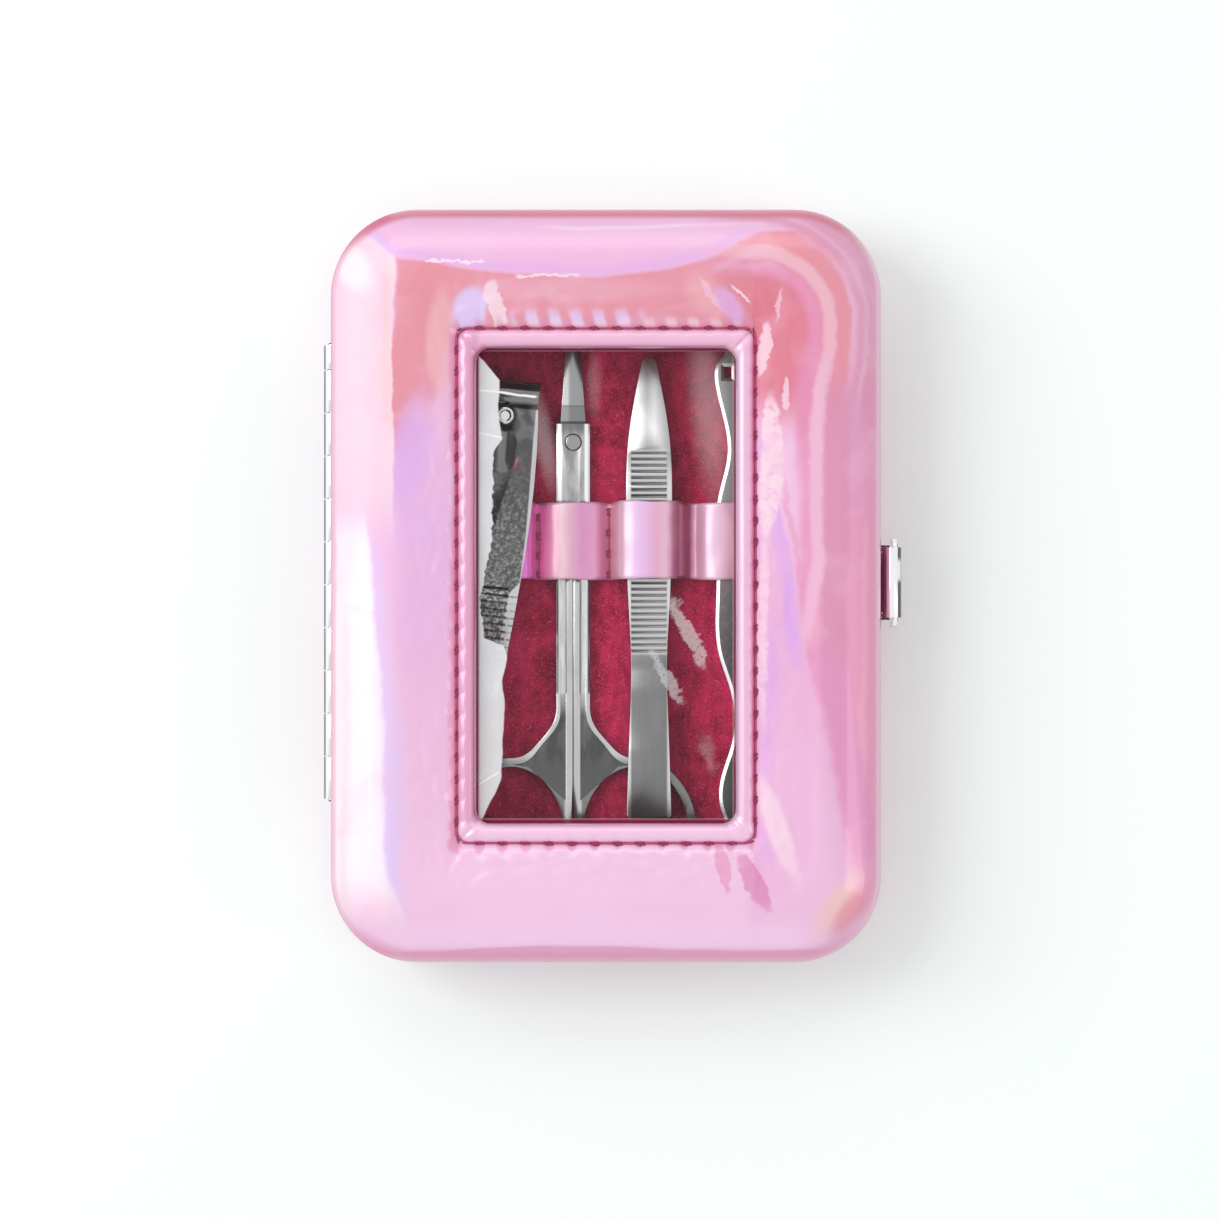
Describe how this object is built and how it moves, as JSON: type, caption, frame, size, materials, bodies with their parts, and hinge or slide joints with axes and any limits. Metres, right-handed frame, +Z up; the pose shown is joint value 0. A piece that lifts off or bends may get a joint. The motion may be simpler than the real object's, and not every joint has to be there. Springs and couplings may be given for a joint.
{
  "type": "manicure set case",
  "caption": "Small padded clamshell case with a clear window in its hinged lid, a press clasp and a strap that holds manicure tools.",
  "frame": {"origin": "centre of the flat underside of the base", "axes": "+X from the hinge to the clasp, +Y along the case's length, +Z up out of the window"},
  "size_m": [0.0801, 0.104, 0.021],
  "materials": {
    "pink_pu": "glossy holographic pink leatherette",
    "velvet": "raspberry velvet",
    "foam": "white foam",
    "board": "grey-brown pressed board",
    "rim_metal": "bright nickel",
    "hinge_metal": "bright nickel",
    "clasp_metal": "bright nickel",
    "spring_steel": "spring steel",
    "tool_steel": "polished stainless steel",
    "clear_film": "clear flexible film"
  },
  "bodies": {
    "base": {"base_cover": "pink_pu", "base_padding": "foam", "base_shell": "board", "base_lining": "velvet", "base_frame": "rim_metal", "tool_panel": "velvet", "tool_strap": "pink_pu", "base_hinge_leaf": "hinge_metal", "hinge_pin": "hinge_metal", "latch_bracket": "clasp_metal", "latch_pin": "clasp_metal", "latch_spring": "spring_steel"},
    "lid": {"lid_hinge_leaf": "hinge_metal", "lid_frame": "rim_metal", "lid_shell": "board", "lid_padding": "foam", "lid_cover": "pink_pu", "lid_lining": "velvet", "window_binding": "pink_pu", "window_film": "clear_film", "lid_striker": "clasp_metal"},
    "latch": {"latch_button": "clasp_metal"},
    "clipper": {"clipper_lower_jaw": "tool_steel", "clipper_upper_jaw": "tool_steel", "clipper_tail_rivet": "tool_steel", "clipper_post": "tool_steel"},
    "clipper_lever_arm": {"clipper_lever": "tool_steel"},
    "scissors": {"scissors_right": "tool_steel", "scissors_screw": "tool_steel"},
    "scissors_left_half": {"scissors_left": "tool_steel"},
    "tweezers": {"tweezers_upper_arm": "tool_steel", "tweezers_lower_arm": "tool_steel"},
    "pusher": {"cuticle_pusher": "tool_steel"}
  },
  "joints": [
    {"name": "lid_hinge", "type": "hinge", "parent": "base", "child": "lid", "pos_m": [-0.0381, 0, 0.01105], "axis": [0, -1, 0], "range_deg": [0, 170]},
    {"name": "latch_press", "type": "hinge", "parent": "base", "child": "latch", "pos_m": [0.0389, 0.0005, 0.0093], "axis": [0, 1, 0], "range_deg": [0, 15], "stiffness_Nm_per_rad": 0.02, "springref_deg": -5.73, "deforming": ["latch_spring"]},
    {"name": "clipper_slide", "type": "slide", "parent": "base", "child": "clipper", "axis": [0.1002, 0.995, 0], "range_m": [-0.005, 0.014]},
    {"name": "clipper_lever_swivel", "type": "hinge", "parent": "clipper", "child": "clipper_lever_arm", "pos_m": [-0.014, 0.0237, 0.0107], "axis": [0, 0, 1], "range_deg": [-4, 4]},
    {"name": "scissors_slide", "type": "slide", "parent": "base", "child": "scissors", "axis": [0, 1, 0], "range_m": [-0.0022, 0.003]},
    {"name": "scissors_pivot", "type": "hinge", "parent": "scissors", "child": "scissors_left_half", "pos_m": [-0.0046, 0.02015, 0.0056], "axis": [0, 0, -1], "range_deg": [0, 1.5]},
    {"name": "tweezers_slide", "type": "slide", "parent": "base", "child": "tweezers", "axis": [0, 0.9996, -0.0266], "range_m": [-0.013, 0.013]},
    {"name": "pusher_slide", "type": "slide", "parent": "base", "child": "pusher", "axis": [0, 1, 0], "range_m": [-0.004, 0.004]}
  ]
}
